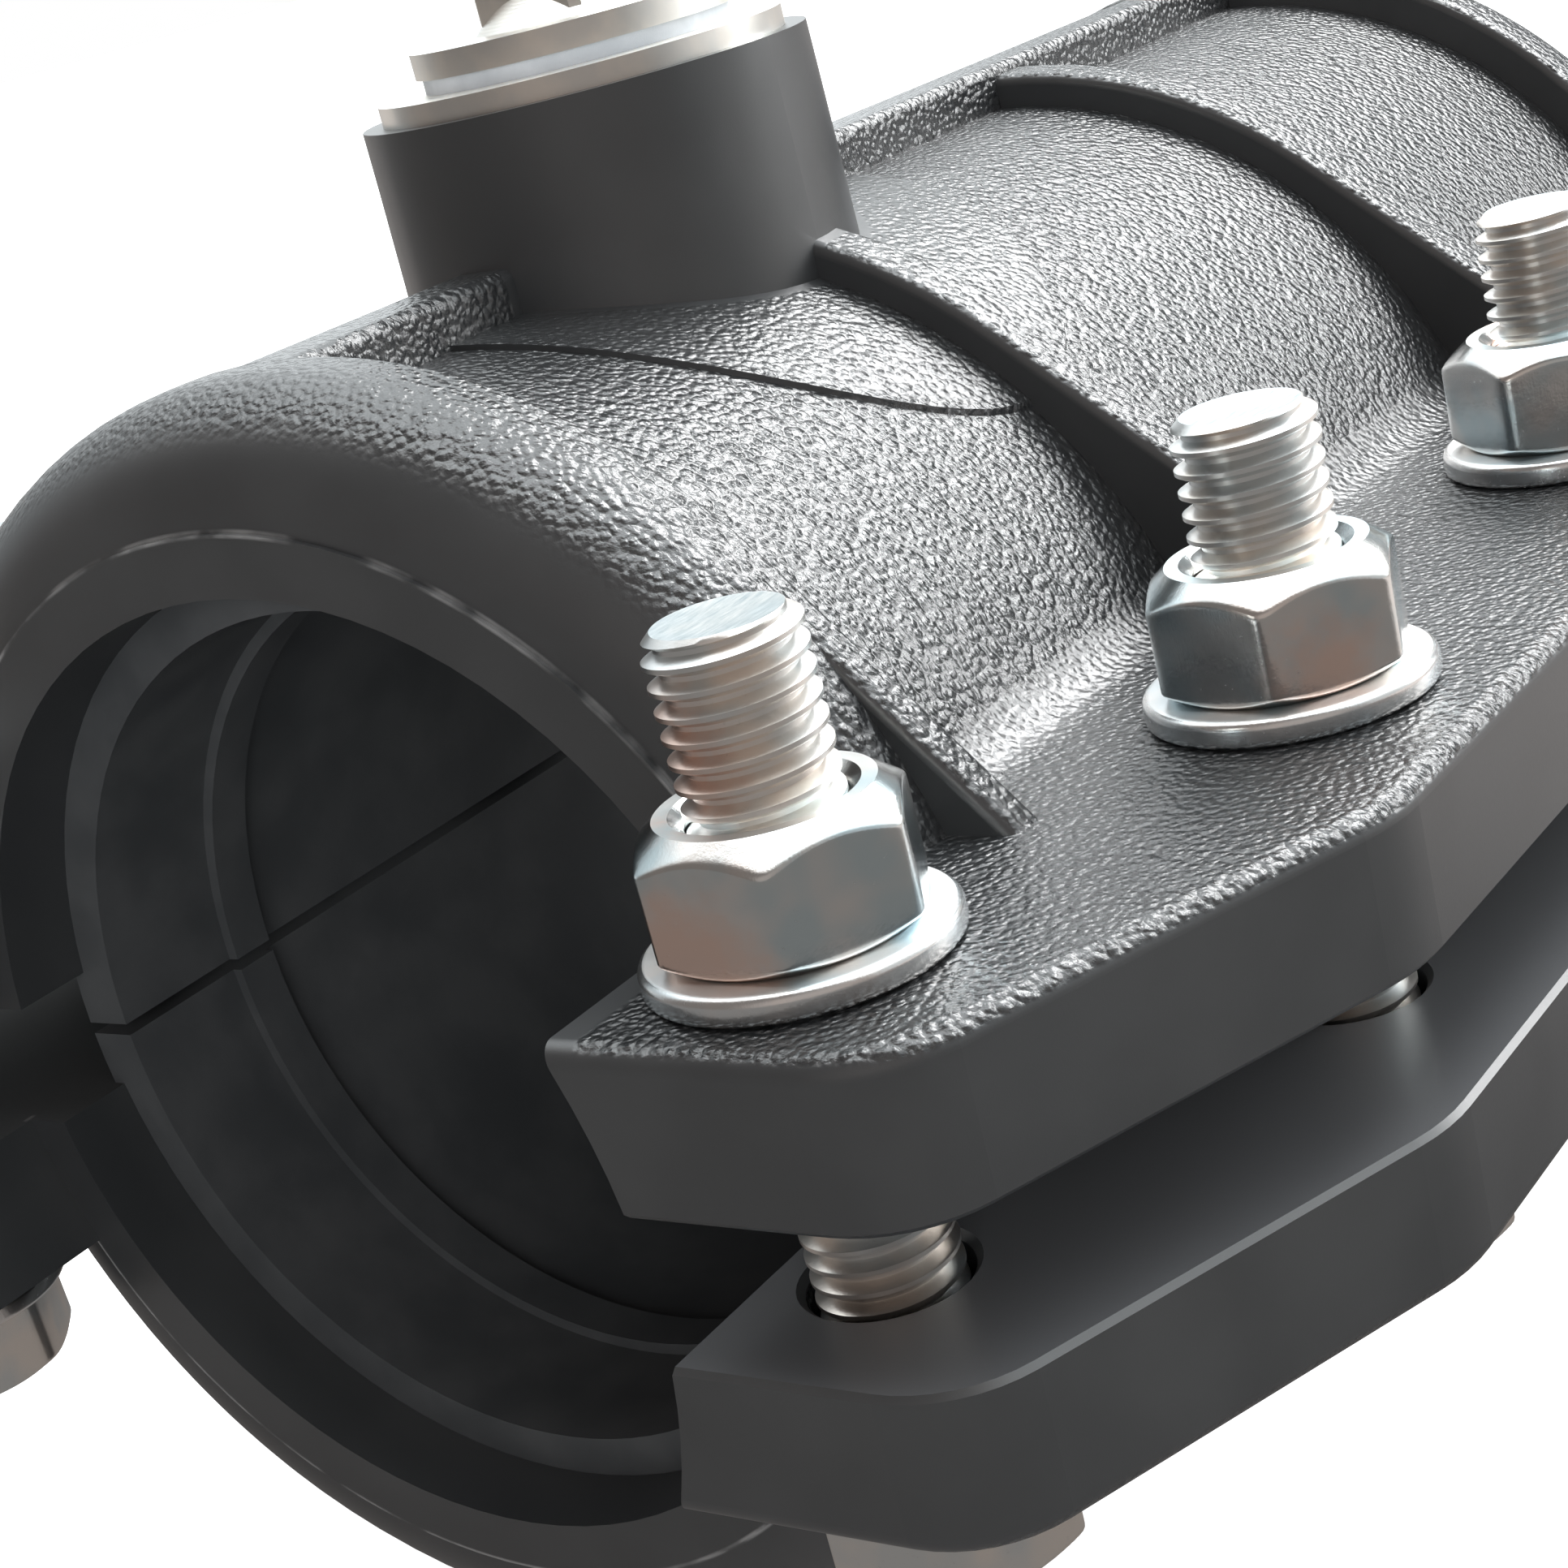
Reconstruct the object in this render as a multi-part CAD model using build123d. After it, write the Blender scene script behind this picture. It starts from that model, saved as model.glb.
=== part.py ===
from build123d import *
import os
from math import acos, atan2, cos, degrees, hypot, radians, sin, sqrt, tan

# Pipe repair clamp: two ribbed plastic half shells that close round a pipe, each lined
# with rubber, drawn together by a row of bolts on each side, with a plugged outlet on the
# crown. Millimetres. The pipe runs along Y, the bolted wings reach out along X, Z is up,
# and the origin is the middle of the bore. The nuts and the outlet are on the upper half.

# Bore and shell wall, outwards from the pipe
BEAD_R = 34.0             # sealing beads of the relaxed liner, which touch the pipe first
BEAD_HEIGHT = 1.0
LINER_WALL = 4.5
SHELL_WALL = 8.5
LIP_BORE_R = 38.4         # rigid lip at each mouth, just larger than the largest pipe
EAR_BORE_R = 42.5         # the wings' ears stand clear of the pipe in front of the mouths

# Lengths along the pipe
BODY_LENGTH = 173.0       # mouth to mouth
LIP_LAND = 7.0            # mouth to the edge of the liner
BEAD_SETBACK = 21.5       # mouth to the middle of the first bead
BEAD_WIDTH = 4.0
COLLAR_ROUND = 8.9        # large round from the collar to the face of the mouth
FACE_STEP = 0.4           # the flat ring round the mouth stands this proud of the round

# Ribs round the shell, and the rib along its crown
RIB_HEIGHT = 3.0
RIB_THICK = 5.0
END_RIB_THICK = 3.3
FRONT_RIB_Y = -31.0
REAR_RIB_Y = 26.0
RIB_ROUND = 1.0
SPINE_HEIGHT = 3.9
SPINE_THICK = 6.0

# Bolts, washers and nuts, 10 mm coarse thread
BOLT_D = 9.8
BOLT_LENGTH = 55.0
END_BOLT_LENGTH = 56.4    # the end bolts stand out a little further
HEX_FLATS = 16.0
HEAD_HEIGHT = 6.4
NUT_HEIGHT = 8.4
THREAD_CLEARANCE = 0.2    # between nut and bolt, on the radius
WASHER_D = 20.0
WASHER_HOLE_D = 10.6
WASHER_THICK = 2.0
BOLT_HOLE_D = 11.0
HOLE_MOUTH_CHAMFER = 0.5  # where the bolts cross the parting faces
HEX_FACE_D = 15.1         # flat end of a nut or head, inside its bevel
HEX_CHAMFER_ANGLE = 30.0
BOLT_END_CHAMFER = 0.9

# Bolt pattern: three inner bolts on each side, and one at each end, further in
INNER_PITCH = 54.0
END_BOLT_SETOUT = 8.5     # mouth to the end bolts, which stand in front of it
INNER_BOLT_X = 63.0
END_BOLT_X = 50.0
RIB_FOOT_X = 59.5         # where the straight flank of an inner rib meets the wing
RIB_FOOT_END_X = 54.6     # the same for an end rib

# Wings
WING_THICK = 11.3
WING_GAP = 10.4           # between the two halves when the liners just meet the pipe
EDGE_DISTANCE = 15.0      # inner bolts to the long edge
END_DISTANCE = 13.0       # end bolts to the end face
END_CORNER_DISTANCE = 12.7
SHOULDER_STEP = 23.0      # end bolt to the shoulder where the long edge starts
END_CORNER_ROUND = 9.0
SHOULDER_ROUND = 14.0
TOP_EDGE_ROUND = 1.5
PARTING_CHAMFER = 0.4     # along the wings' edges at the parting face
ROOT_ROUND = 6.0          # hollow round between the shell and the wing

# Outlet
OUTLET_SETOUT = 32.5      # from the middle of the clamp towards its front
BOSS_D = 37.2             # at the foot
BOSS_DRAFT = 1.0
BOSS_TOP_Z = 63.0
PAD_LENGTH = 54.0         # raised pad round the boss, along the pipe
PAD_WIDTH = 70.0
PAD_HEIGHT = 0.4
OUTLET_D = 18.0
INSERT_FLANGE_D = 33.0
INSERT_FLANGE_THICK = 1.6
INSERT_WALL = 3.0
INSERT_DEPTH = 12.0
PLUG_THREAD_D = 20.6
PLUG_ENGAGEMENT = 10.0
PLUG_CLEARANCE = 0.2
PLUG_COLLAR_D = 26.0
PLUG_COLLAR_THICK = 2.0
PLUG_CONE_D = 15.0
PLUG_CONE_HEIGHT = 2.2
PLUG_SQUARE = 10.4
PLUG_HEAD_HEIGHT = 11.0
PLUG_EDGE = 0.7
SEAL_D = 25.0
SEAL_THICK = 1.2

# Liner halves nearly meet at the split
LINER_SPLIT_GAP = 1.0

# How far each nut's corner is turned when it pulls tight, right and left, front to back
NUT_TURNS_RIGHT = [1.0, -9.0, 23.0, 12.0, -20.0]
NUT_TURNS_LEFT = [14.0, 27.0, -6.0, 18.0, 5.0]
HEAD_TURN = 8.0

# What follows from them
LINER_BORE_R = BEAD_R + BEAD_HEIGHT
RECESS_R = LINER_BORE_R + LINER_WALL
SHELL_R = RECESS_R + SHELL_WALL
RIB_R = SHELL_R + RIB_HEIGHT
SPINE_TOP_Z = SHELL_R + SPINE_HEIGHT
COLLAR_R = SPINE_TOP_Z     # the crown rib runs out flush on the collars
MOUTH_Y = BODY_LENGTH / 2
CREST_Y = MOUTH_Y - FACE_STEP - COLLAR_ROUND
LINER_END_Y = MOUTH_Y - LIP_LAND
BEAD_Y = MOUTH_Y - BEAD_SETBACK
SPLIT_Z = WING_GAP / 2
WING_TOP_Z = SPLIT_Z + WING_THICK
END_BOLT_Y = MOUTH_Y + END_BOLT_SETOUT
WING_END_Y = END_BOLT_Y + END_DISTANCE
WING_EDGE_X = INNER_BOLT_X + EDGE_DISTANCE
END_CORNER_X = END_BOLT_X + END_CORNER_DISTANCE
SHOULDER_Y = END_BOLT_Y - SHOULDER_STEP
NUT_SEAT_Z = WING_TOP_Z + WASHER_THICK
HEAD_SEAT_Z = -NUT_SEAT_Z
OUTLET_Y = -OUTLET_SETOUT
INSERT_BORE_R = PLUG_THREAD_D / 2 + PLUG_CLEARANCE
INSERT_BARREL_R = INSERT_BORE_R + INSERT_WALL
INSERT_TOP_Z = BOSS_TOP_Z + INSERT_FLANGE_THICK
PLUG_SEAT_Z = INSERT_TOP_Z + SEAL_THICK

# Bolt places on one side, front to back: distance from the pipe's axis, place along it
BOLT_ROW = [
    (END_BOLT_X, -END_BOLT_Y),
    (INNER_BOLT_X, -INNER_PITCH),
    (INNER_BOLT_X, 0.0),
    (INNER_BOLT_X, INNER_PITCH),
    (END_BOLT_X, END_BOLT_Y),
]
BOLT_PLACES = [(side * x, y) for side in (1, -1) for x, y in BOLT_ROW]
BOLT_NAMES = [f"{side}{n}" for side in ("right_", "left_") for n in range(1, 6)]


def cylinder(radius, z_low, z_high, x=0.0, y=0.0):
    """An upright cylinder between two heights."""
    return Pos(x, y, z_low) * extrude(Circle(radius), z_high - z_low)


def along_pipe(face, y_low, y_high):
    """A cross section, drawn in X and Z, drawn out along the pipe."""
    return extrude(Plane((0, y_low, 0), x_dir=(1, 0, 0), z_dir=(0, -1, 0)) * face, -(y_high - y_low))


def pipe_cylinder(radius, y_low, y_high):
    return along_pipe(Circle(radius), y_low, y_high)


def above(solid, z):
    """What of a solid lies above a height."""
    reach = 4 * WING_END_Y
    return solid & Pos(0, 0, z + reach / 2) * Box(reach, reach, reach)


def wing_plate():
    """Both wings as one plate: straight long edges, running in towards the end bolts."""
    shoulder = [(WING_EDGE_X, SHOULDER_Y), (END_CORNER_X, WING_END_Y)]
    back = shoulder + [(-x, y) for x, y in reversed(shoulder)]
    plan = make_face(Polyline(*back, *[(-x, -y) for x, y in back], close=True))
    corners = plan.vertices().group_by(lambda v: abs(v.X))
    plan = fillet(corners[0], END_CORNER_ROUND)
    shoulders = [v for v in plan.vertices() if abs(abs(v.X) - WING_EDGE_X) < 0.01]
    shoulders = [v for v in shoulders if abs(abs(v.Y) - SHOULDER_Y) < 0.01]
    plan = fillet(shoulders, SHOULDER_ROUND)
    plate = Pos(0, 0, SPLIT_Z) * extrude(plan, WING_THICK)
    plate = chamfer(plate.faces().sort_by(Axis.Z)[0].edges(), PARTING_CHAMFER)
    return fillet(plate.faces().sort_by(Axis.Z)[-1].edges(), TOP_EDGE_ROUND)


def root_rounds():
    """The hollow rounds that carry the shell's wall out into the wings."""
    centre_z = WING_TOP_Z + ROOT_ROUND
    centre_x = sqrt((SHELL_R + ROOT_ROUND) ** 2 - centre_z ** 2)
    lean = atan2(centre_z, centre_x)
    on_shell = (SHELL_R * cos(lean), SHELL_R * sin(lean))
    on_wing = (centre_x, WING_TOP_Z)
    middle = radians(180) + (lean + radians(90)) / 2
    waist = (centre_x + ROOT_ROUND * cos(middle), centre_z + ROOT_ROUND * sin(middle))
    inner_x = (RECESS_R + SHELL_R) / 2
    foot_z = WING_TOP_Z - WING_THICK / 2
    outline = ThreePointArc(on_shell, waist, on_wing)
    outline += Polyline(on_wing, (centre_x, foot_z), (inner_x, foot_z), on_shell)
    round_right = along_pipe(make_face(outline), -CREST_Y, CREST_Y)
    return round_right + mirror(round_right, about=Plane.YZ)


def rib(y_low, y_high, crest_r, foot_x):
    """A rib round the shell, whose straight flanks run down to the wings as gussets."""
    reach = hypot(foot_x, WING_TOP_Z)
    touch = atan2(WING_TOP_Z, foot_x) + acos(crest_r / reach)
    tangent = (crest_r * cos(touch), crest_r * sin(touch))
    foot_z = WING_TOP_Z - WING_THICK / 2
    flank = Polyline((-tangent[0], tangent[1]), (-foot_x, WING_TOP_Z), (-foot_x, foot_z),
                     (foot_x, foot_z), (foot_x, WING_TOP_Z), tangent)
    face = make_face(flank + ThreePointArc(tangent, (0, crest_r), (-tangent[0], tangent[1])))
    plate = along_pipe(face, y_low, y_high)
    crest = list(plate.edges().filter_by(GeomType.CIRCLE))
    slopes = [e for e in plate.edges().filter_by(GeomType.LINE)
              if abs(e.center().Z - (tangent[1] + WING_TOP_Z) / 2) < 0.01]
    return fillet(crest + slopes, RIB_ROUND)


def collar(end):
    """The thick end of the shell, with a large round down to the face of the mouth."""
    inner_y = CREST_Y - END_RIB_THICK
    face_r = COLLAR_R - COLLAR_ROUND
    round_y = MOUTH_Y - FACE_STEP
    outline = Polyline((COLLAR_R, CREST_Y), (COLLAR_R, inner_y), (0, inner_y), (0, MOUTH_Y),
                       (face_r, MOUTH_Y), (face_r, round_y))
    outline += RadiusArc((face_r, round_y), (COLLAR_R, CREST_Y), COLLAR_ROUND)
    ring = revolve(make_face(outline), Axis.Y)
    back = [e for e in ring.edges().filter_by(GeomType.CIRCLE)
            if abs(e.radius - COLLAR_R) < RIB_ROUND and abs(e.center().Y - inner_y) < RIB_ROUND]
    ring = fillet(back, RIB_ROUND)
    return ring if end > 0 else mirror(ring, about=Plane.XZ)


def half_shell():
    """What the two half shells share, drawn as the upper one."""
    solid = pipe_cylinder(SHELL_R, -CREST_Y, CREST_Y) + root_rounds()
    for end in (1, -1):
        solid += collar(end)
    for middle in (FRONT_RIB_Y, REAR_RIB_Y):
        solid += rib(middle - RIB_THICK / 2, middle + RIB_THICK / 2, RIB_R, RIB_FOOT_X)
    solid += rib(CREST_Y - END_RIB_THICK, CREST_Y, COLLAR_R, RIB_FOOT_END_X)
    solid += rib(-CREST_Y, END_RIB_THICK - CREST_Y, COLLAR_R, RIB_FOOT_END_X)
    solid += spine()
    return solid + wing_plate()


def spine():
    """The rib along the crown, rounded along its top."""
    height = SPINE_TOP_Z - (RECESS_R + SHELL_R) / 2
    length = 2 * CREST_Y - RIB_THICK / 2
    bar = Pos(0, 0, SPINE_TOP_Z - height / 2) * Box(SPINE_THICK, length, height)
    return fillet(bar.faces().sort_by(Axis.Z)[-1].edges(), RIB_ROUND)


def hollow_out(solid):
    """Cuts the bore, the liner's recess, the room between the ears, the split and the bolt holes."""
    solid = above(solid, SPLIT_Z)
    solid -= pipe_cylinder(LIP_BORE_R, -MOUTH_Y, MOUTH_Y)
    solid -= pipe_cylinder(RECESS_R, -LINER_END_Y, LINER_END_Y)
    solid -= pipe_cylinder(EAR_BORE_R, MOUTH_Y, WING_END_Y + END_DISTANCE)
    solid -= pipe_cylinder(EAR_BORE_R, -WING_END_Y - END_DISTANCE, -MOUTH_Y)
    hole_r = BOLT_HOLE_D / 2
    mouth = Cone(hole_r + HOLE_MOUTH_CHAMFER, hole_r, HOLE_MOUTH_CHAMFER)
    for x, y in BOLT_PLACES:
        solid -= cylinder(hole_r, 0, SHELL_R, x, y)
        solid -= Pos(x, y, SPLIT_Z + HOLE_MOUTH_CHAMFER / 2) * mouth
    return solid


def upper_shell():
    solid = half_shell()
    pad = Pos(0, OUTLET_Y, 0) * extrude(Ellipse(PAD_WIDTH / 2, PAD_LENGTH / 2), SHELL_R + PAD_HEIGHT)
    solid += pad & pipe_cylinder(SHELL_R + PAD_HEIGHT, -CREST_Y, CREST_Y)
    boss = extrude(Circle(BOSS_D / 2), BOSS_TOP_Z - RECESS_R, taper=BOSS_DRAFT)
    solid += Pos(0, OUTLET_Y, RECESS_R) * boss
    solid = hollow_out(solid)
    solid -= cylinder(INSERT_BARREL_R, BOSS_TOP_Z - INSERT_DEPTH, BOSS_TOP_Z, y=OUTLET_Y)
    return solid - cylinder(OUTLET_D / 2, 0, BOSS_TOP_Z, y=OUTLET_Y)


def lower_shell():
    return mirror(hollow_out(half_shell()), about=Plane.XY)


def liner():
    """The upper rubber half, with a sealing bead near each end."""
    tube = pipe_cylinder(RECESS_R, -LINER_END_Y, LINER_END_Y)
    tube -= pipe_cylinder(LINER_BORE_R, -LINER_END_Y, LINER_END_Y)
    for middle in (-BEAD_Y, BEAD_Y):
        bead = pipe_cylinder(LINER_BORE_R, middle - BEAD_WIDTH / 2, middle + BEAD_WIDTH / 2)
        bead -= pipe_cylinder(BEAD_R, middle - BEAD_WIDTH / 2, middle + BEAD_WIDTH / 2)
        tube += bead
    return above(tube, LINER_SPLIT_GAP / 2)


def upper_liner():
    return liner() - cylinder(OUTLET_D / 2, 0, SHELL_R, y=OUTLET_Y)


def lower_liner():
    return mirror(liner(), about=Plane.XY)


def hexagon_prism(z_low, z_high, turn, chamfer_low, chamfer_high):
    """A hexagon with the turned bevel that takes its corners off at one or both ends."""
    corner_r = HEX_FLATS / 2 / cos(radians(30))
    prism = Pos(0, 0, z_low) * extrude(Rot(0, 0, turn) * RegularPolygon(corner_r, 6), z_high - z_low)
    face_r = HEX_FACE_D / 2
    drop = (corner_r - face_r) * tan(radians(HEX_CHAMFER_ANGLE))
    low_drop = drop if chamfer_low else 0
    high_drop = drop if chamfer_high else 0
    outline = [(0, z_low), (face_r if low_drop else corner_r, z_low), (corner_r, z_low + low_drop),
               (corner_r, z_high - high_drop), (face_r if high_drop else corner_r, z_high), (0, z_high)]
    points = [p for n, p in enumerate(outline) if n == 0 or p != outline[n - 1]]
    return prism & revolve(Plane.XZ * make_face(Polyline(*points, close=True)), Axis.Z)


def bolt(x, y, length):
    """A hexagon bolt, head down, threaded to its end."""
    tip_z = HEAD_SEAT_Z + length
    shank = cylinder(BOLT_D / 2, HEAD_SEAT_Z, tip_z)
    shank = chamfer(shank.edges().sort_by(Axis.Z)[-1], BOLT_END_CHAMFER)
    head = hexagon_prism(HEAD_SEAT_Z - HEAD_HEIGHT, HEAD_SEAT_Z, HEAD_TURN, True, False)
    return Pos(x, y, 0) * (shank + head)


def nut(x, y, turn):
    solid = hexagon_prism(NUT_SEAT_Z, NUT_SEAT_Z + NUT_HEIGHT, turn, True, True)
    solid -= cylinder(BOLT_D / 2 + THREAD_CLEARANCE, NUT_SEAT_Z, NUT_SEAT_Z + NUT_HEIGHT)
    return Pos(x, y, 0) * solid


def washers(z_low):
    """One flat washer at every bolt."""
    ring = cylinder(WASHER_D / 2, z_low, z_low + WASHER_THICK)
    ring -= cylinder(WASHER_HOLE_D / 2, z_low, z_low + WASHER_THICK)
    return Compound([Pos(x, y, 0) * ring for x, y in BOLT_PLACES])


def outlet_insert():
    """The metal bush moulded into the boss, with its flange on the boss's top."""
    solid = cylinder(INSERT_BARREL_R, BOSS_TOP_Z - INSERT_DEPTH, BOSS_TOP_Z)
    solid += cylinder(INSERT_FLANGE_D / 2, BOSS_TOP_Z, INSERT_TOP_Z)
    solid -= cylinder(INSERT_BORE_R, BOSS_TOP_Z - INSERT_DEPTH, INSERT_TOP_Z)
    return Pos(0, OUTLET_Y, 0) * solid


def plug_seal():
    ring = cylinder(SEAL_D / 2, INSERT_TOP_Z, PLUG_SEAT_Z)
    ring -= cylinder(INSERT_BORE_R, INSERT_TOP_Z, PLUG_SEAT_Z)
    return Pos(0, OUTLET_Y, 0) * ring


def outlet_plug():
    """A threaded plug: collar, short cone, and a square head for the wrench."""
    collar_top = PLUG_SEAT_Z + PLUG_COLLAR_THICK
    cone_top = collar_top + PLUG_CONE_HEIGHT
    head_top = collar_top + PLUG_HEAD_HEIGHT
    tip_z = PLUG_SEAT_Z - SEAL_THICK - PLUG_ENGAGEMENT
    shank = cylinder(PLUG_THREAD_D / 2, tip_z, PLUG_SEAT_Z)
    shank = chamfer(shank.edges().sort_by(Axis.Z)[0], BOLT_END_CHAMFER)
    solid = shank + cylinder(PLUG_COLLAR_D / 2, PLUG_SEAT_Z, collar_top)
    cone = Pos(0, 0, (collar_top + cone_top) / 2) * Cone(PLUG_CONE_D / 2, PLUG_SQUARE / 2, PLUG_CONE_HEIGHT)
    head = Pos(0, 0, collar_top) * extrude(Rectangle(PLUG_SQUARE, PLUG_SQUARE), PLUG_HEAD_HEIGHT)
    head = chamfer(head.edges().filter_by(Axis.Z), PLUG_EDGE)
    head = chamfer(head.faces().sort_by(Axis.Z)[-1].edges(), PLUG_EDGE)
    return Pos(0, OUTLET_Y, 0) * (solid + cone + head)


nodes = {
    "upper_shell": upper_shell(),
    "lower_shell": lower_shell(),
    "upper_liner": upper_liner(),
    "lower_liner": lower_liner(),
    "nut_washers": washers(WING_TOP_Z),
    "head_washers": washers(HEAD_SEAT_Z),
    "outlet_insert": outlet_insert(),
    "plug_seal": plug_seal(),
    "outlet_plug": outlet_plug(),
}
for name, (x, y), turn in zip(BOLT_NAMES, BOLT_PLACES, NUT_TURNS_RIGHT + NUT_TURNS_LEFT):
    length = END_BOLT_LENGTH if x in (END_BOLT_X, -END_BOLT_X) else BOLT_LENGTH
    nodes["bolt_" + name] = bolt(x, y, length)
    nodes["nut_" + name] = nut(x, y, turn)

os.makedirs("parts", exist_ok=True)
for name, solid in nodes.items():
    export_step(solid, f"parts/{name}.step")
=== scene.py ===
from math import cos, pi, radians, sin, tan, tau

import bmesh
import bpy
import numpy as np
from mathutils import Matrix, Vector


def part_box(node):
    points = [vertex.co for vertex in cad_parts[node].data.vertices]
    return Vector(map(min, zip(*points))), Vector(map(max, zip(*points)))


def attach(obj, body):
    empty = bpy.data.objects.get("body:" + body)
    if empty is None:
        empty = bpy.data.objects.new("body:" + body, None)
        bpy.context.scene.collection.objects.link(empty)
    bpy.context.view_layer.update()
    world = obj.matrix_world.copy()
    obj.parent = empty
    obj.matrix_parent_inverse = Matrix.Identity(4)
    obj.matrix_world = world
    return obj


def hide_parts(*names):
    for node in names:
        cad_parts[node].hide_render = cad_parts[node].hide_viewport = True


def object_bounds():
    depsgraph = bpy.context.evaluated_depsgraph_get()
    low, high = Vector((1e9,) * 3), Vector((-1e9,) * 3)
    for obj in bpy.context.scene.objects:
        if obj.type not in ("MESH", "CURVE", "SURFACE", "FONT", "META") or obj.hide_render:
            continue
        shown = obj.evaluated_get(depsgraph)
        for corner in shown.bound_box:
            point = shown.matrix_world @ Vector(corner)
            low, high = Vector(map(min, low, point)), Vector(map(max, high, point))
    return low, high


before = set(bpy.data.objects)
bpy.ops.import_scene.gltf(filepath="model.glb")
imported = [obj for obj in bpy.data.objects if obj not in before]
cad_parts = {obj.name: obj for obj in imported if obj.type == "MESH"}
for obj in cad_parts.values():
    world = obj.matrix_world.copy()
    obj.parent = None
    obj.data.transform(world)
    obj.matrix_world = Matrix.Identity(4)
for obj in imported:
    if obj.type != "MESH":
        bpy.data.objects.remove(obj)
cad_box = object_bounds()
scene = bpy.context.scene

# Pipe repair clamp on a white studio floor. The clamp's sizes are in mm, and the lamps' and the
# camera's places in metres. The CAD shells, liners, insert, seal and plug keep their shapes and
# get materials. The threaded bolts, the nuts and the washers are made here from formulas, in the
# places of their CAD nodes.

MM = 0.001
BOSS_Y = -32.5            # the boss and the plug stand here on the crown

# Fasteners, as in the part
THREAD_PITCH = 1.5
THREAD_DEPTH = 0.86
THREAD_STEPS = 10         # rows of points to one turn of thread
THREAD_LOW_Z = -9.0       # threads run from here to the bolt's end
BOLT_RADIUS = 4.9
END_CHAMFER = 0.9
END_DISH = 0.12           # the bolt's end is a little hollow
HEAD_DISH = 0.15          # and so is its head
SHANK_SINK = 1.0          # the shank ends this far inside the head
HEX_FLATS = 16.0
HEX_FACE = 7.55           # radius of the flat end of a nut or head
HEAD_BEVEL = 30.0         # degrees from that face
HEAD_BEVEL_HEIGHT = 1.6
HEAD_TURN = 8.0
NUT_TOP_FACE = 6.8        # the same radius for the wider bevel on top of a nut
NUT_TOP_BEVEL = 38.0
NUT_BEVEL_HEIGHTS = (1.7, 2.4)
NUT_BORE = 5.02           # radius of a nut's hole
COUNTERSINK = 0.8
WASHER_RADIUS = 10.0
WASHER_HOLE_D = 10.6
WASHER_CORNER = 0.65
BLANK_RADIUS = 20.0       # a disc of this radius is cut down to a nut or a head

# How far each nut is turned on its bolt, in degrees, from the near end to the far one
NUT_TURNS = {"right": [1.0, -9.0, 23.0, 12.0, -20.0], "left": [14.0, 27.0, -6.0, 18.0, 5.0]}

# Warm painted reflections on the zinc of both sides, patches that stand for the pink-brown room it mirrors:
# distance from the middle plane, y, z and reach
WARM_REFLECTION_PATCHES = (
    (48.0, -103.5, 19.0, 5.0), (70.0, -61.0, 20.0, 4.0), (71.0, -4.0, 20.0, 4.5),
    (47.0, -99.0, 31.0, 4.0), (57.0, 4.0, 24.0, 4.0), (66.0, 50.0, 20.0, 5.0), (50.0, 101.0, 21.0, 5.0),
)


# Shader graphs


class Wire:
    """An output socket of a node, with the arithmetic of Python."""

    def __init__(self, graph, socket):
        self.graph = graph
        self.socket = socket

    def maths(self, operation, *values):
        return self.graph.wire(0, "Math", {"operation": operation}, dict(enumerate(values)))

    def __add__(self, other):
        return self.maths("ADD", self, other)

    def __sub__(self, other):
        return self.maths("SUBTRACT", self, other)

    def __mul__(self, other):
        return self.maths("MULTIPLY", self, other)

    def __truediv__(self, other):
        return self.maths("DIVIDE", self, other)

    def __pow__(self, other):
        return self.maths("POWER", self, other)

    def __abs__(self):
        return self.maths("ABSOLUTE", self)

    def __radd__(self, other):
        return self.maths("ADD", other, self)

    def __rsub__(self, other):
        return self.maths("SUBTRACT", other, self)

    def __rmul__(self, other):
        return self.maths("MULTIPLY", other, self)

    def root(self):
        return self.maths("SQRT", self)

    def sine(self):
        return self.maths("SINE", self)

    def high(self, other):
        return self.maths("MAXIMUM", self, other)

    def low(self, other):
        return self.maths("MINIMUM", self, other)

    def step(self, start, end):
        """0 before start and 1 after end, smooth between them. The end may be below the start."""
        rising = start < end
        return self.graph.wire(0, "MapRange", {"interpolation_type": "SMOOTHSTEP"}, {
            "Value": self, "From Min": min(start, end), "From Max": max(start, end),
            "To Min": 0.0 if rising else 1.0, "To Max": 1.0 if rising else 0.0})


class Graph:
    """A tree of shader nodes, empty at first."""

    def __init__(self, tree):
        self.tree = tree
        tree.nodes.clear()

    def node(self, kind, settings=None, sockets=None):
        """Adds a node. Its settings are set first, then the values or links of its sockets."""
        node = self.tree.nodes.new("ShaderNode" + kind)
        for name, value in (settings or {}).items():
            setattr(node, name, value)
        for place, value in (sockets or {}).items():
            if isinstance(value, Wire):
                self.tree.links.new(value.socket, node.inputs[place])
            else:
                node.inputs[place].default_value = value
        return node

    def wire(self, output, kind, settings=None, sockets=None):
        """Adds a node and gives one of its outputs."""
        return Wire(self, self.node(kind, settings, sockets).outputs[output])

    def split(self, vector):
        """The three numbers of a vector."""
        return [Wire(self, out) for out in self.node("SeparateXYZ", {}, {0: vector}).outputs]

    def vector(self, operation, first, second):
        """Vector maths on two vectors, or on a vector and a number for SCALE."""
        place = "Scale" if operation == "SCALE" else 1
        return self.wire(0, "VectorMath", {"operation": operation}, {0: first, place: second})

    def mix(self, share, first, second):
        """A colour between two colours."""
        return self.wire(2, "Mix", {"data_type": "RGBA", "clamp_factor": True}, {0: share, 6: first, 7: second})

    def seen_directly(self):
        """1 where the camera looks, straight or through something, and 0 for light and reflections."""
        ray = self.node("LightPath")
        return Wire(self, ray.outputs["Is Camera Ray"]).high(Wire(self, ray.outputs["Is Transmission Ray"]))


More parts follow.
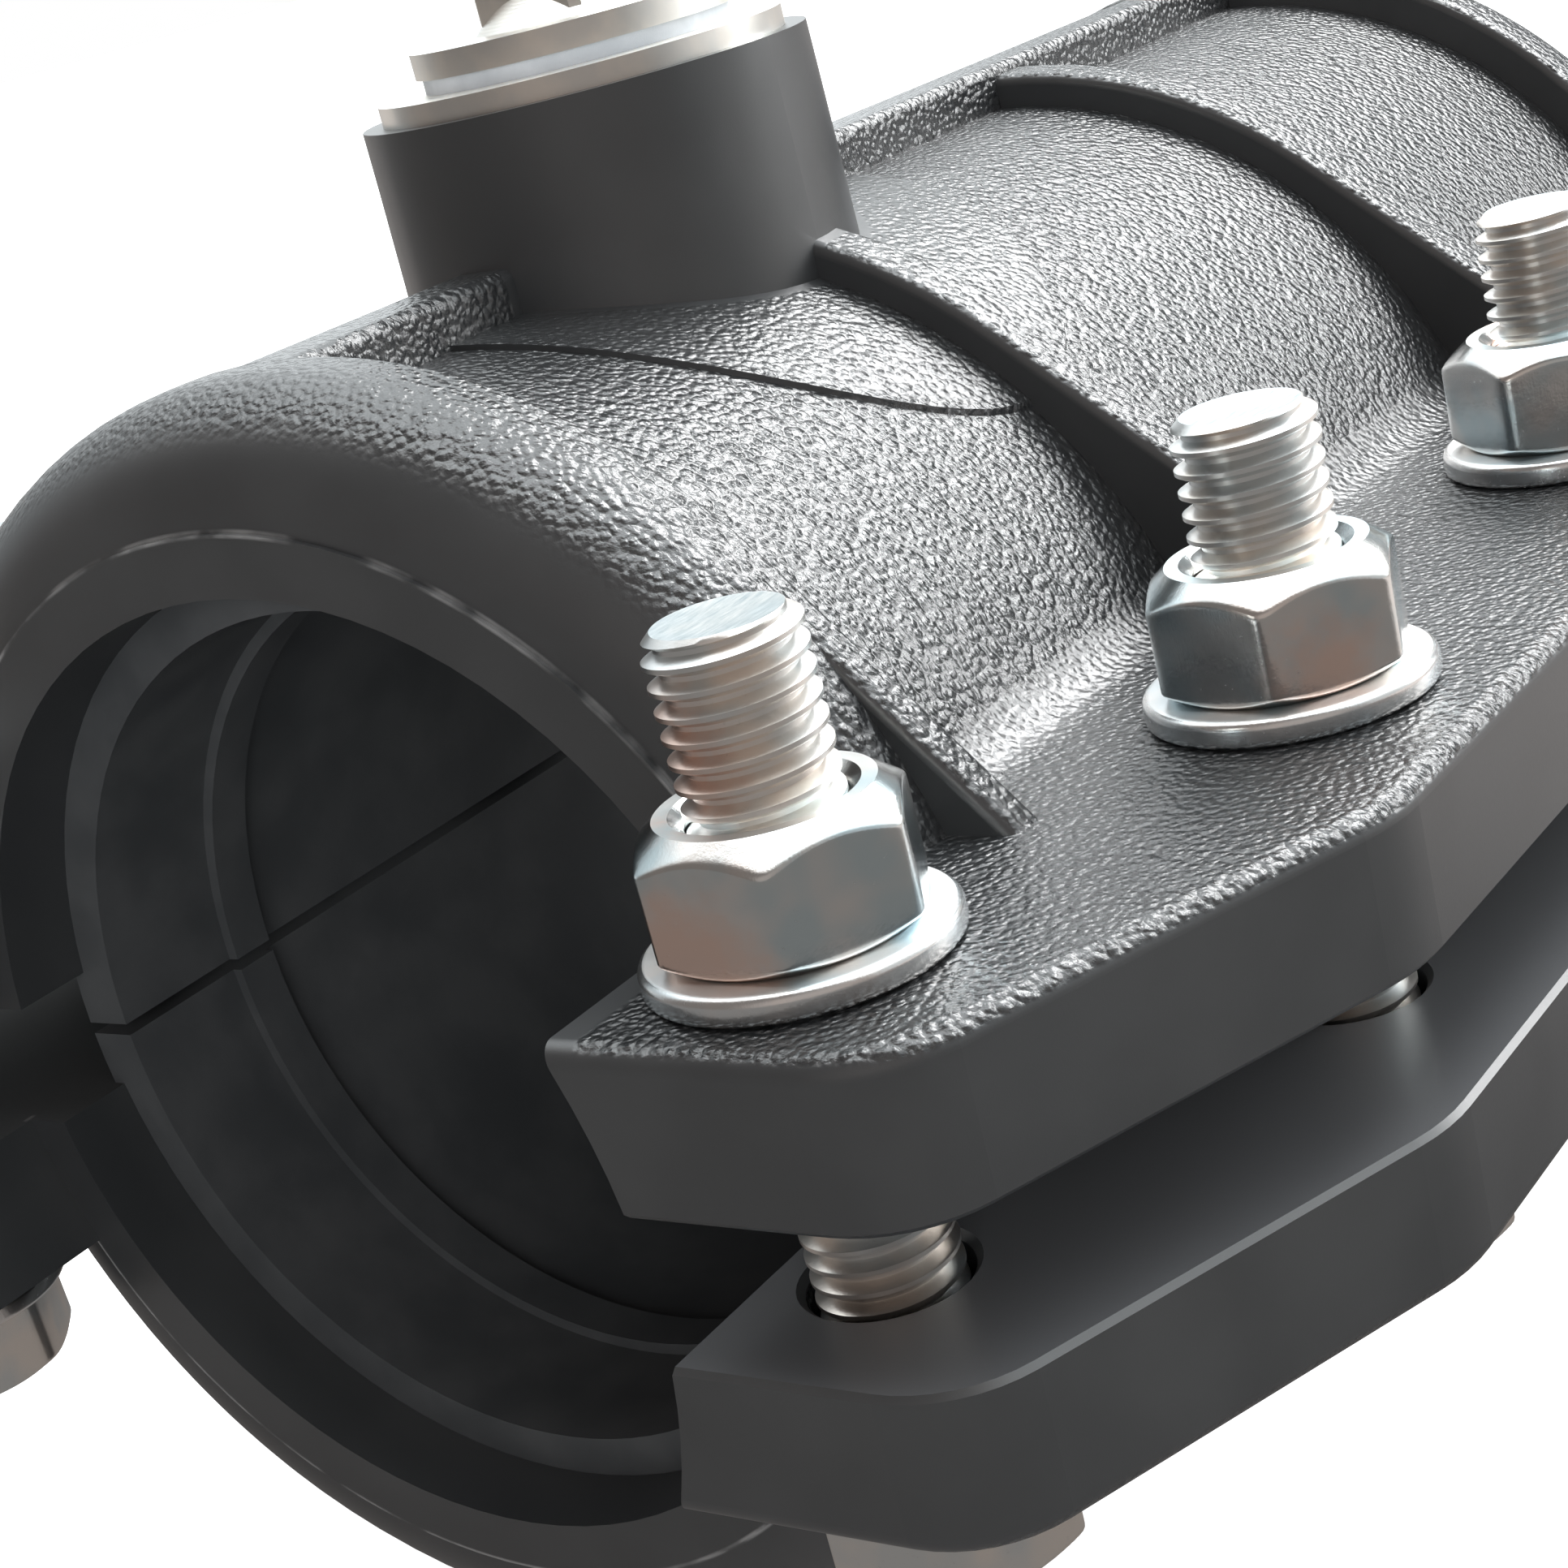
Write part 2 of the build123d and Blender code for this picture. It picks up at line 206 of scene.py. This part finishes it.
class Surface(Graph):
    """The nodes of a material. x, y and z are the place on the piece in mm, and normal_y and
    normal_z say which way it faces there."""

    def __init__(self, name):
        self.material = bpy.data.materials.new(name)
        self.material.use_nodes = True
        super().__init__(self.material.node_tree)
        place = self.node("TexCoord")
        self.point = Wire(self, place.outputs["Object"])
        self.x, self.y, self.z = self.split(self.vector("SCALE", self.point, 1 / MM))
        _, self.normal_y, self.normal_z = self.split(Wire(self, place.outputs["Normal"]))

    def from_boss(self):
        """Distance in mm from the axis of the boss and the plug."""
        along = self.y - BOSS_Y
        return (self.x * self.x + along * along).root()

    def noise(self, size_mm, vector=None, detail=3.0, roughness=0.5, output="Fac"):
        """Soft noise whose features are about size_mm across."""
        return self.wire(output, "TexNoise", {}, {
            "Vector": vector or self.point, "Scale": 1 / (size_mm * MM), "Detail": detail,
            "Roughness": roughness})

    def cells(self, size_mm, vector):
        """Distance from the middles of scattered cells about size_mm across, smooth between them."""
        return self.wire("Distance", "TexVoronoi", {"feature": "SMOOTH_F1"}, {
            "Vector": vector, "Scale": 1 / (size_mm * MM), "Smoothness": 0.5})

    def bump(self, height, distance_mm, strength, **after):
        """A normal bent by a height map, over the normal given as Normal, if any."""
        return self.wire(0, "Bump", {}, {
            "Height": height, "Distance": distance_mm * MM, "Strength": strength, **after})

    def finish(self, shader):
        """The material, with a shader on its surface."""
        self.node("OutputMaterial", {}, {"Surface": shader})
        return self.material

    def principled(self, colour, roughness, normal, **others):
        """The material, with the standard shader on its surface."""
        return self.finish(self.wire(0, "BsdfPrincipled", {}, {
            "Base Color": colour, "Roughness": roughness, "Normal": normal, **others}))


# Materials


def grey(level, warm):
    """A grey of some level. A warm below 0 makes it cooler."""
    return (level * (1 + warm), level, level * (1 - warm), 1.0)


def shell_plastic():
    """Black moulded plastic: leather grain outside, smooth on machined and parting faces."""
    g = Surface("shell_plastic")
    from_axis = (g.x * g.x + g.z * g.z).root()
    across = abs(g.x)
    height = abs(g.z)
    flat = abs(g.normal_z)

    # Where the grain is: not inside the mouth, on faces to the ends, on the wings' outer and
    # parting faces or on the boss, and shallower on the wings' tops and the pad
    outside = from_axis.step(44.2, 45.0)
    facing_end = abs(g.normal_y).step(0.82, 0.5)
    side_wall = across.step(46.0, 47.0) * flat.step(0.5, 0.25) * height.step(16.4, 16.0)
    parting = height.step(5.6, 6.0)
    boss = g.from_boss().step(19.6, 19.2)
    wing_top = height.step(19.6, 18.9) * height.step(16.6, 16.9) * across.step(42.5, 43.5)
    wing_middle = wing_top * flat.step(0.9, 0.99) * across.step(76.0, 72.0)
    pad = ((g.x / 34.2) ** 2.0 + ((g.y - BOSS_Y) / 26.4) ** 2.0).step(1.03, 0.99) * g.z.step(30.0, 31.0)
    grain = outside * facing_end * (1.0 - side_wall) * parting * (1.0 - boss)
    grain = grain * (1.0 - 0.4 * wing_top) * (1.0 - 0.35 * wing_middle) * (1.0 - 0.25 * pad)

    # Pebbles with wavy edges, and a finer satin over everything
    wander = g.vector("ADD", g.noise(0.8, output="Color"), (-0.5, -0.5, -0.5))
    pebble = 1.0 - g.cells(0.62, g.vector("ADD", g.point, g.vector("SCALE", wander, 0.0005)))
    fine = g.noise(0.28, detail=4.0, roughness=0.6)
    normal = g.bump(pebble * 0.8 + fine * 0.2, 0.3, grain)
    normal = g.bump(g.noise(0.09, detail=2.0), 0.006, 0.7, Normal=normal)

    cloud = g.noise(14.0, detail=4.0)
    # Painted shade: the grain's hollows are darker
    hollow = (1.0 - pebble).step(0.15, 0.75)
    colour = g.mix(cloud.step(0.35, 0.65), (0.017, 0.0185, 0.020, 1), (0.022, 0.0235, 0.025, 1))
    colour = g.mix(hollow * grain * 0.5, colour, (0.014, 0.015, 0.016, 1))
    roughness = 0.31 + 0.06 * cloud + 0.06 * fine - 0.12 * grain

    # A painted highlight: a pale line round the mouth's ring, where its edge would catch the light, broken up by
    # noise
    rim = abs(from_axis - 43.0).step(0.35, 0.1) * abs(g.y).step(85.6, 86.0) * abs(g.y).step(87.0, 86.7)
    rim = rim * g.noise(5.0, detail=3.0).step(0.35, 0.6)
    colour = g.mix(rim * 0.8, colour, (0.16, 0.16, 0.16, 1))

    # The parting faces on the near side get painted light, paler to stand for the light that reaches into the gap
    # between the wings; on the far side they are dull instead
    seam = height.step(5.6, 5.3) * flat.step(0.8, 0.95)
    far_seam = seam * g.x.step(-30.0, -38.0)
    colour = g.mix(seam - far_seam, colour, (0.08, 0.083, 0.088, 1))
    roughness = roughness + 0.5 * far_seam
    return g.principled(colour, roughness, normal, **{"Specular IOR Level": 1.0})


def rubber(name, level, roughness):
    """Moulded rubber with a dull bloom."""
    g = Surface(name)
    bloom = g.noise(9.0, detail=5.0, roughness=0.6)
    specks = g.noise(0.12, detail=3.0, roughness=0.7)
    colour = g.mix(bloom.step(0.3, 0.75), grey(level, -0.08), grey(level * 1.5, -0.05))
    return g.principled(colour, roughness + 0.12 * bloom, g.bump(specks, 0.02, 0.6))


def zinc(name, dull, cool, straw):
    """Bright zinc plate on steel in a cool and a straw tint, with fine drawn marks, dull spots
    and warm painted reflections. dull makes it rougher, as on a rolled thread."""
    g = Surface(name)
    worn = g.noise(2.5, detail=5.0, roughness=0.6)
    warm = 0.0
    for across, y, z, reach in WARM_REFLECTION_PATCHES:
        x_away, y_away, z_away = abs(g.x) - across, g.y - y, g.z - z
        away = (x_away * x_away + y_away * y_away + z_away * z_away).root()
        warm = (away + 5.0 * worn).step(reach + 4.5, reach) + warm
    warm = warm.low(1.0) * g.z.step(18.4, 18.8)
    drawn = g.noise(0.16, g.vector("MULTIPLY", g.point, (1.0, 1.0, 0.12)), detail=3.0, roughness=0.7)
    ripple = g.noise(1.8, detail=4.0, roughness=0.6)
    spots = g.noise(0.5, detail=5.0, roughness=0.75).step(0.6, 0.75)
    brushed = g.noise(0.35, g.vector("MULTIPLY", g.point, (1.0, 0.15, 1.0)), detail=4.0, roughness=0.7)
    ends = abs(g.normal_z).step(0.9, 0.97)
    bolt_end = ends * g.z.step(29.0, 30.0)
    colour = g.mix(g.noise(6.0, detail=2.0).step(0.35, 0.6), cool, straw)
    # Painted reflections: the warm patches stand for the pink-brown room mirrored in the zinc
    colour = g.mix(warm * 0.9, colour, (0.90, 0.67, 0.57, 1))
    colour = g.mix(spots * 0.3, colour, (0.45, 0.44, 0.42, 1))
    colour = g.mix(bolt_end * (0.35 + 0.9 * brushed), colour, (0.30, 0.35, 0.37, 1))
    normal = g.bump(drawn, 0.012, 0.6)
    normal = g.bump(ripple, 0.05, 0.5, Normal=normal)
    roughness = 0.1 + 0.1 * ripple + 0.14 * spots + 0.05 * drawn + 0.2 * ends + dull
    return g.principled(colour, roughness, normal, Metallic=1.0)


def plug_metal():
    """Nickel plated steel, turned: rings round the plug's axis."""
    g = Surface("plug_metal")
    rings = (g.from_boss() * 26.0 + g.noise(3.0) * 5.0).sine() * 0.5 + 0.5
    tint = g.noise(4.0, detail=4.0)
    colour = g.mix(tint.step(0.35, 0.65), (0.80, 0.80, 0.77, 1), (0.90, 0.87, 0.81, 1))
    return g.principled(colour, 0.24 + 0.1 * rings + 0.12 * tint, g.bump(rings, 0.008, 0.5), Metallic=1.0)


materials = {
    "shell_plastic": shell_plastic(),
    "liner_rubber": rubber("liner_rubber", 0.033, 0.5),
    "zinc_plate": zinc("zinc_plate", 0.0, (0.62, 0.72, 0.75, 1), (0.80, 0.79, 0.77, 1)),
    "zinc_thread": zinc("zinc_thread", 0.14, (0.80, 0.83, 0.83, 1), (0.96, 0.90, 0.84, 1)),
    "zinc_washer": zinc("zinc_washer", 0.04, (0.80, 0.85, 0.87, 1), (0.92, 0.90, 0.88, 1)),
    "plug_metal": plug_metal(),
    "seal_rubber": rubber("seal_rubber", 0.45, 0.45),
}
DRESS = {
    "upper_shell": "shell_plastic", "lower_shell": "shell_plastic",
    "upper_liner": "liner_rubber", "lower_liner": "liner_rubber",
    "outlet_insert": "plug_metal", "outlet_plug": "plug_metal", "plug_seal": "seal_rubber",
}
for node, material in DRESS.items():
    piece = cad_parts[node]
    piece.data.materials.clear()
    piece.data.materials.append(materials[material])


# Fasteners


def grid_faces(rows, columns):
    """The four corners of each cell of a grid of points: a point, its neighbour along the row and
    the same two in the next row."""
    first = np.arange(rows - 1)[:, None] * columns + np.arange(columns - 1)[None, :]
    return np.stack([first, first + 1, first + columns + 1, first + columns], axis=-1).reshape(-1, 4)


def make_piece(name, grids, places, material, sharp=38.0):
    """One mesh from grids of points, set down at each (x, y) of places. Cells that shrink to a
    point are left out, points that meet are joined, and edges over sharp degrees stay crisp."""
    points, faces, start = [], [], 0
    for x, y in places:
        for grid in grids:
            rows, columns = grid.shape[:2]
            flat = grid.reshape(-1, 3) + np.array([x, y, 0.0])
            corners = grid_faces(rows, columns)
            spread = np.ptp(flat[corners], axis=1).max(axis=1)
            faces.append(corners[spread > 1e-6] + start)
            points.append(flat)
            start += rows * columns
    mesh = bpy.data.meshes.new(name)
    mesh.from_pydata(np.concatenate(points) * MM, [], np.concatenate(faces).tolist())
    work = bmesh.new()
    work.from_mesh(mesh)
    bmesh.ops.remove_doubles(work, verts=work.verts, dist=2e-7)
    bmesh.ops.dissolve_degenerate(work, dist=1e-8, edges=work.edges)
    bmesh.ops.recalc_face_normals(work, faces=work.faces)
    work.to_mesh(mesh)
    work.free()
    mesh.shade_smooth()
    mesh.set_sharp_from_angle(angle=radians(sharp))
    mesh.materials.append(materials[material])
    piece = bpy.data.objects.new(name, mesh)
    scene.collection.objects.link(piece)
    return piece


def turned(outline, angles, shape=None):
    """A profile carried round the Z axis: x = r cos a, y = r sin a and z = h, for each radius and
    height (r, h) of the outline and each angle a. shape may change the radii."""
    radius, height = np.array(outline, dtype=float).T[:, :, None] + 0 * angles
    if shape is not None:
        radius = shape(radius, height, angles)
    return np.stack([radius * np.cos(angles), radius * np.sin(angles), height], axis=-1)


def smooth_least(*limits, power=70.0):
    """The least of several radii, with a small round where two of them meet.
    It is (a**-p + b**-p + ...)**(-1/p) for a large power p, in units of 9 mm, which keep the
    powers small."""
    total = sum((9.0 / np.maximum(limit, 1e-3)) ** power for limit in limits)
    return 9.0 * total ** (-1 / power)


def hexagon(angles, turn):
    """Radius of a hexagon with slightly rounded corners at each angle:
    the smooth least of the distances to its six sides along that direction. A side that faces
    away counts as one that is far off."""
    sides = [np.cos(angles - radians(turn) - pi / 6 - k * pi / 3) for k in range(6)]
    return smooth_least(*[HEX_FLATS / 2 / np.maximum(side, 0.05) for side in sides], power=34.0)


def bevelled_hexagon(turn, foot=None, top=None):
    """A shape that cuts a disc down to a hexagon: the smooth least of the disc, the hexagon and a
    cone at the foot, the top or both. A cone's radius grows from the flat end's by the distance
    from that end over the tangent of the bevel."""

    def shape(radius, height, angles):
        limits = [radius, hexagon(angles, turn)]
        if top is not None:
            limits.append(NUT_TOP_FACE + (top - height) / tan(radians(NUT_TOP_BEVEL)))
        if foot is not None:
            limits.append(HEX_FACE + (height - foot) / tan(radians(HEAD_BEVEL)))
        return smooth_least(*limits)

    return shape


def end_face(outline, angles, shape):
    """A flat end: the outline's own radii, but nowhere past the shape that its wall has."""
    return turned(outline, angles, lambda r, h, a: np.minimum(r, shape(BLANK_RADIUS + 0 * r, h, a)))


def thread_height(turns):
    """Height of a 60 degree thread above its root, 0 to 1, at a number of turns up the bolt. It is
    1 up to 0.10 turns from the crest's middle and 0 from 0.39 turns on. Between them, with t
    falling evenly from 1 to 0, it is the mean of t and 3t**2 - 2t**3."""
    phase = turns - np.floor(turns)
    flank = np.clip((np.abs(phase - 0.5) - 0.10) / 0.29, 0.0, 1.0)
    ramp = 1.0 - flank
    return ramp * ramp * (3 - 2 * ramp) * 0.5 + ramp * 0.5


def threaded_rod(z_low, z_high, angles):
    """The side of a threaded rod as rows that climb with the thread: height = pitch * (row / steps
    + angle / tau), held between both ends. The radius loses the thread's depth, which grows over
    the first turn and a half, and is least at the chamfer's cone on the upper end."""
    first = int(np.floor(z_low / THREAD_PITCH) - 2) * THREAD_STEPS
    last = int(np.ceil(z_high / THREAD_PITCH) + 1) * THREAD_STEPS
    turns = np.arange(first, last + 1)[:, None] / THREAD_STEPS + 0 * angles[None, :]
    height = np.clip((turns + angles[None, :] / tau) * THREAD_PITCH, z_low, z_high)
    along = height / THREAD_PITCH - angles[None, :] / tau
    run_out = np.clip((height - z_low) / THREAD_PITCH / 1.5, 0.0, 1.0)
    depth = THREAD_DEPTH * run_out * (1 - thread_height(along))
    chamfer = BOLT_RADIUS - END_CHAMFER + (z_high - height) * 1.1
    radius = np.minimum(BOLT_RADIUS - depth, chamfer)
    return np.stack([radius * np.cos(angles), radius * np.sin(angles), height], axis=-1)


def node_box(node):
    """The least and the greatest corner of a CAD node, in mm."""
    low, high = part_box(node)
    return np.array(low) / MM, np.array(high) / MM


def make_bolt(node, place):
    """A hexagon bolt, head down, threaded to its end: a closed shank that ends inside a closed
    head."""
    low, high = node_box(node)
    tip, foot = high[2], low[2]
    seat = node_box("head_washers")[0][2]
    angles = np.linspace(0, tau, 65)
    round_head = np.linspace(0, tau, 145)
    end_radius = BOLT_RADIUS - END_CHAMFER
    thread = threaded_rod(THREAD_LOW_Z, tip, angles)
    end = turned([(0, tip - END_DISH), (end_radius * 0.55, tip - END_DISH),
                  (end_radius - 0.35, tip - END_DISH / 4), (end_radius, tip)], angles)
    shank = turned([(BOLT_RADIUS, THREAD_LOW_Z), (BOLT_RADIUS, seat - SHANK_SINK), (0, seat - SHANK_SINK)], angles)
    head = bevelled_hexagon(HEAD_TURN, foot=foot)
    heights = [seat, seat - 0.1, *np.linspace(foot + HEAD_BEVEL_HEIGHT, foot, 15)]
    wall = turned([(BLANK_RADIUS, z) for z in heights], round_head, head)
    under = end_face([(BLANK_RADIUS, seat), (0, seat)], round_head, head)
    face = end_face([(BLANK_RADIUS, foot), (HEX_FACE - 0.6, foot), (HEX_FACE - 0.9, foot + HEAD_DISH),
                     (0, foot + HEAD_DISH)], round_head, head)
    piece = make_piece("threaded_" + node, [thread, end, shank, under, wall, face], [place], "zinc_thread")
    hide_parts(node)
    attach(piece, "lower_half")


def make_nut(node, place, turn):
    """A hexagon nut, bevelled at both ends, with a countersunk hole."""
    low, high = node_box(node)
    foot, top = low[2], high[2]
    angles = np.linspace(0, tau, 145)
    hexagonal = bevelled_hexagon(turn, foot=foot, top=top)
    foot_bevel, top_bevel = NUT_BEVEL_HEIGHTS
    heights = [*np.linspace(foot, foot + foot_bevel, 15), *np.linspace(top - top_bevel, top, 21)]
    wall = turned([(BLANK_RADIUS, z) for z in heights], angles, hexagonal)
    upper = end_face([(BLANK_RADIUS, top), (6.4, top), (NUT_BORE + COUNTERSINK, top),
                      (NUT_BORE, top - COUNTERSINK), (NUT_BORE, foot)], angles, hexagonal)
    lower = end_face([(NUT_BORE, foot), (6.6, foot), (BLANK_RADIUS, foot)], angles, hexagonal)
    piece = make_piece("turned_" + node, [wall, upper, lower], [place], "zinc_plate")
    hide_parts(node)
    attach(piece, node)


def make_washers(node, body, places):
    """Ten flat washers with rolled rims: a rectangle with four quarter circles for corners,
    carried round the bolt's axis."""
    low, high = node_box(node)
    inner = WASHER_HOLE_D / 2
    middle_radius, middle_z = (WASHER_RADIUS + inner) / 2, (low[2] + high[2]) / 2
    across = (WASHER_RADIUS - inner) / 2 - WASHER_CORNER
    up = (high[2] - low[2]) / 2 - WASHER_CORNER
    outline = []
    for x, z, start in ((across, up, 0.0), (-across, up, pi / 2), (-across, -up, pi), (across, -up, 1.5 * pi)):
        for k in range(7):
            a = start + k * pi / 12
            outline.append((middle_radius + x + WASHER_CORNER * cos(a), middle_z + z + WASHER_CORNER * sin(a)))
    outline.append(outline[0])
    ring = turned(outline, np.linspace(0, tau, 97))
    piece = make_piece("rolled_" + node, [ring], places, "zinc_washer", sharp=60.0)
    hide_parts(node)
    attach(piece, body)


places = {}
for side in ("right", "left"):
    for number in range(1, 6):
        low, high = node_box(f"bolt_{side}_{number}")
        places[side, number] = ((low[0] + high[0]) / 2, (low[1] + high[1]) / 2)

for (side, number), place in places.items():
    make_bolt(f"bolt_{side}_{number}", place)
    make_nut(f"nut_{side}_{number}", place, NUT_TURNS[side][number - 1])
make_washers("nut_washers", "upper_half", places.values())
make_washers("head_washers", "lower_half", places.values())


# Studio


def studio_floor(low_z):
    """A white floor that stays white to the camera and keeps the clamp's soft shadow.
    In reflections it runs from dim in front to bright behind, as the room does."""
    mesh = bpy.data.meshes.new("floor")
    reach = 6.0
    corners = [(-reach, -reach, low_z), (reach, -reach, low_z), (reach, reach, low_z), (-reach, reach, low_z)]
    mesh.from_pydata(corners, [], [(0, 1, 2, 3)])
    floor = bpy.data.objects.new("floor", mesh)
    scene.collection.objects.link(floor)
    g = Surface("white_floor")
    paint = g.wire(0, "BsdfDiffuse", {}, {"Color": (0.8, 0.8, 0.8, 1)})
    glow = g.wire(0, "Emission", {}, {"Strength": 0.9})
    mirrored = 0.23 + 0.7 * g.y.step(20.0, 130.0) - 0.25 * g.y.step(180.0, 400.0)
    dim = g.wire(0, "Emission", {}, {"Color": (1.0, 0.93, 0.89, 1), "Strength": mirrored})
    white = g.wire(0, "AddShader", {}, {0: paint, 1: glow})
    to_eye = g.wire(0, "MixShader", {}, {0: g.seen_directly(), 1: paint, 2: white})
    glossy = g.wire("Is Glossy Ray", "LightPath")
    mesh.materials.append(g.finish(g.wire(0, "MixShader", {}, {0: glossy, 1: to_eye, 2: dim})))


def studio_world():
    """White behind the object. Light and reflections see a room that is bright overhead and
    behind, much less so low down at the back, and dim and warmer in front."""
    scene.world = bpy.data.worlds.new("studio")
    scene.world.use_nodes = True
    g = Graph(scene.world.node_tree)
    across, back, height = g.split(g.wire("Generated", "TexCoord"))
    behind = back.step(-0.35, 0.0)
    zenith = height.step(0.8, 0.95)
    low_back = back.step(0.78, 0.9)
    sides = abs(across).step(0.55, 0.95)
    front = (across * 0.52 - back * 0.83 + height * 0.2).step(0.6, 0.95)
    light = 2.05 * behind * (1.0 - 0.94 * low_back) * (1.0 - 0.8 * sides) * (1.0 + 0.9 * zenith)
    tint = g.mix(behind, (1.0, 0.86, 0.79, 1), (0.95, 1.0, 1.02, 1))
    white = g.wire(0, "Background", {}, {"Color": (1, 1, 1, 1)})
    room = g.wire(0, "Background", {}, {"Strength": 0.2 + 0.22 * front + light, "Color": tint})
    sky = g.wire(0, "MixShader", {}, {0: g.seen_directly(), 1: room, 2: white})
    g.node("OutputWorld", {}, {"Surface": sky})


def soft_lamp(name, place, aim, size, power):
    """A softbox that the camera doesn't see."""
    data = bpy.data.lights.new(name, "AREA")
    data.shape = "RECTANGLE"
    data.size, data.size_y = size
    data.energy = power
    lamp = bpy.data.objects.new(name, data)
    lamp.location = place
    lamp.rotation_euler = (Vector(aim) - Vector(place)).to_track_quat("-Z", "Y").to_euler()
    lamp.visible_camera = False
    scene.collection.objects.link(lamp)
    return lamp


studio_floor(cad_box[0].z - 0.0005)
studio_world()
soft_lamp("back_window", (0.1, 0.29, 0.34), (0.02, -0.04, 0.03), (0.32, 0.18), 2.3)
soft_lamp("right_window", (0.62, 0.8, 0.36), (0.0, 0.0, 0.02), (0.45, 0.4), 5.5)
front_fill = soft_lamp("front_fill", (0.7, -1.1, 0.3), (0.0, 0.0, 0.0), (1.0, 0.6), 10.0)
front_fill.visible_glossy = False

# Camera, from the view fitted to the bolts, the mouth and the wings. The frame is 1932 pixels
# wide, with the view's middle at 1000, 1200 and a focal length of 3479.1 pixels.
azimuth, elevation, roll = radians(39.22), radians(21.65), radians(-14.78)
forward = Vector((-sin(azimuth) * cos(elevation), cos(azimuth) * cos(elevation), -sin(elevation)))
level = forward.cross(Vector((0, 0, 1))).normalized()
upright = level.cross(forward)
right = level * cos(roll) + upright * sin(roll)
up = upright * cos(roll) - level * sin(roll)
camera_data = bpy.data.cameras.new("camera")
camera_data.sensor_width = 36.0
camera_data.lens = 3479.1 / 1932 * 36.0
camera_data.shift_x = 0.5 - 1000.0 / 1932
camera_data.shift_y = 1200.0 / 1932 - 0.5
camera_data.clip_start = 0.01
camera = bpy.data.objects.new("camera", camera_data)
placement = Matrix((right, up, -forward)).transposed().to_4x4()
placement.translation = Vector((0.14869, -0.21586, 0.07729))
camera.matrix_world = placement
scene.collection.objects.link(camera)
scene.camera = camera
scene.view_settings.view_transform = "Standard"
